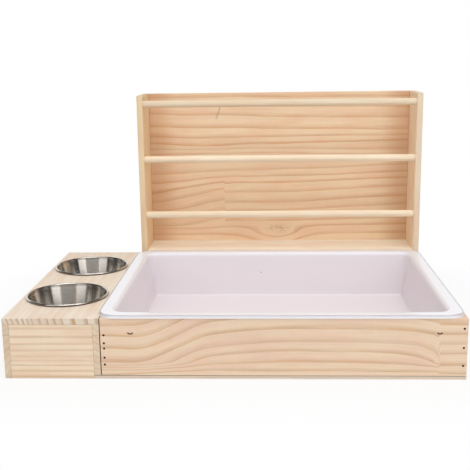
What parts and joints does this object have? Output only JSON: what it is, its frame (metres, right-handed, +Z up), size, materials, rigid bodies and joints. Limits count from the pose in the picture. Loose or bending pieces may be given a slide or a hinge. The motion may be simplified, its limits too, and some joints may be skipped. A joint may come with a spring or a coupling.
{
  "type": "hay feeder box",
  "caption": "Wooden small-animal feeding station: a litter tray that lifts out of a low board frame, a bowl box with lift-out steel bowls at its left and a railed hay rack behind.",
  "frame": {"origin": "on the floor, under the middle of the whole object's box", "axes": "+X to the right along the front, +Y from the litter frame's front to the rack's back, +Z up"},
  "size_m": [0.6228, 0.4774, 0.362],
  "materials": {
    "bowl_box_board": "bare planed pine",
    "frame_board": "bare planed pine",
    "rack_board": "bare planed pine",
    "rail_dowel": "bare pale dowel",
    "base_panel": "bare plywood",
    "tray_plastic": "smooth moulded, white",
    "bowl_steel": "brushed stainless",
    "nail": "dull wire brad",
    "screw": "zinc plated"
  },
  "bodies": {
    "root": {"bowl_box_top": "bowl_box_board", "bowl_box_left_side": "bowl_box_board", "bowl_box_right_side": "bowl_box_board", "bowl_box_front": "bowl_box_board", "bowl_box_back": "bowl_box_board", "bowl_box_nails": "nail", "frame_front": "frame_board", "frame_back": "frame_board", "frame_left_side": "frame_board", "frame_right_side": "frame_board", "base_panel": "base_panel", "frame_front_nails": "nail", "frame_back_nails": "nail", "base_nails": "nail", "rack_left_side": "rack_board", "rack_right_side": "rack_board", "rack_back": "rack_board", "rack_shelf": "rack_board", "rack_lower_front": "rack_board", "top_rail": "rail_dowel", "middle_rail": "rail_dowel", "bottom_rail": "rail_dowel", "rack_nails": "nail", "bowl_box_screws": "screw", "rack_screws": "screw"},
    "tray": {"litter_tray": "tray_plastic"},
    "front_bowl_body": {"front_bowl": "bowl_steel"},
    "rear_bowl_body": {"rear_bowl": "bowl_steel"}
  },
  "joints": [
    {"name": "tray_lift", "type": "slide", "parent": "root", "child": "tray", "axis": [0, 0, 1], "range_m": [0, 0.1]},
    {"name": "front_bowl_lift", "type": "slide", "parent": "root", "child": "front_bowl_body", "axis": [0, 0, 1], "range_m": [0, 0.06]},
    {"name": "rear_bowl_lift", "type": "slide", "parent": "root", "child": "rear_bowl_body", "axis": [0, 0, 1], "range_m": [0, 0.06]}
  ]
}
